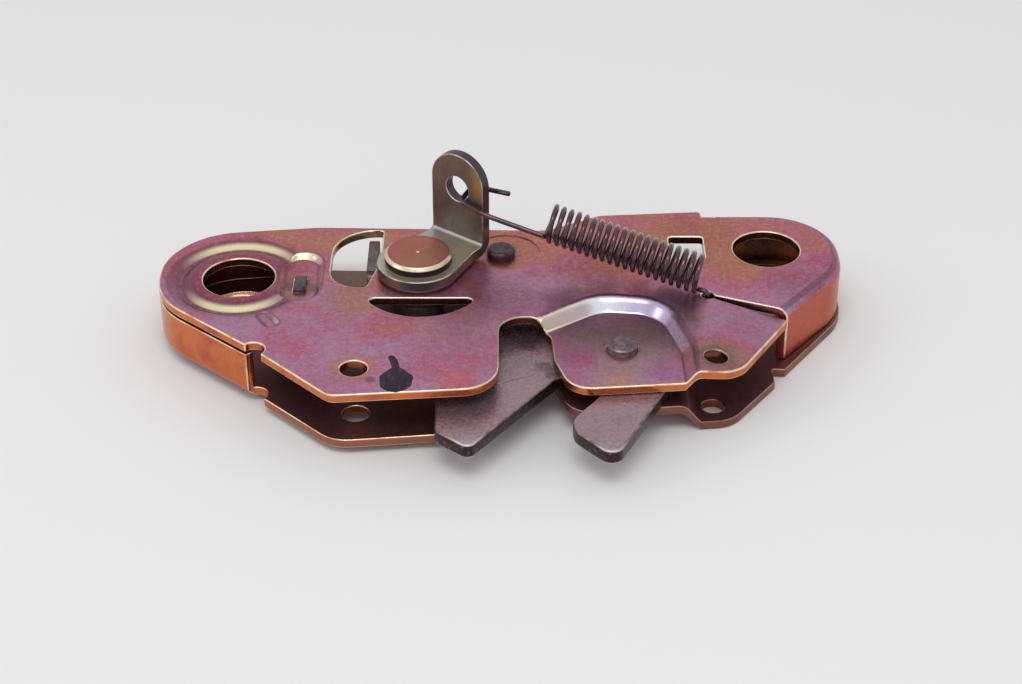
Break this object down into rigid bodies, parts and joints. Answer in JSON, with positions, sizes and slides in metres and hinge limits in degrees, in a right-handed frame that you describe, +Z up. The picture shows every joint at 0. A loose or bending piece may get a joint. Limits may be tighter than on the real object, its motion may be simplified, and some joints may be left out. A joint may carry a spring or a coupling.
{
  "type": "hood latch",
  "caption": "Hood latch: riveted pressed plates round a forked catch, with a pawl on a through stud and a sprung release lever.",
  "frame": {"origin": "level with the back face of the left end, where the striker's centre line in the throat crosses the fork pivot's level", "axes": "+X towards the plain mounting hole, +Y towards the back edge, away from the striker's entry, +Z up through the front plate"},
  "size_m": [0.1491, 0.0838, 0.0381],
  "materials": {
    "front_zinc": "yellow chromate on zinc, iridescent and worn",
    "back_zinc": "yellow chromate on zinc, worn",
    "fork_steel": "bare hardened steel, greasy",
    "rivet_steel": "dark peened steel",
    "stud_zinc": "turned, yellow chromate",
    "lever_zinc": "grey olive zinc",
    "washer_steel": "plain steel",
    "pawl_steel": "hardened steel, greasy",
    "spring_steel": "oil-dark spring wire"
  },
  "bodies": {
    "housing": {"front_plate": "front_zinc", "back_plate": "back_zinc", "fork_pin": "rivet_steel", "tie_pin": "rivet_steel", "end_strut": "rivet_steel", "lever_washer": "washer_steel", "pawl_spacer_back": "washer_steel", "pawl_spacer_front": "washer_steel", "lever_spring": "spring_steel", "fork_spring": "spring_steel"},
    "fork": {"fork": "fork_steel"},
    "release": {"lever_stud": "stud_zinc", "release_lever": "lever_zinc", "pawl": "pawl_steel"}
  },
  "joints": [
    {"name": "fork_pivot", "type": "hinge", "parent": "housing", "child": "fork", "pos_m": [0.02025, 0, 0.00665], "axis": [0, 0, 1], "range_deg": [-50, 0], "stiffness_Nm_per_rad": 0.15, "springref_deg": 17.19, "deforming": ["fork_spring"]},
    {"name": "release_pivot", "type": "hinge", "parent": "housing", "child": "release", "pos_m": [-0.02285, 0.0253, 0.008], "axis": [0, 0, 1], "range_deg": [-8, 9], "stiffness_Nm_per_rad": 0.2, "deforming": ["lever_spring"]}
  ]
}
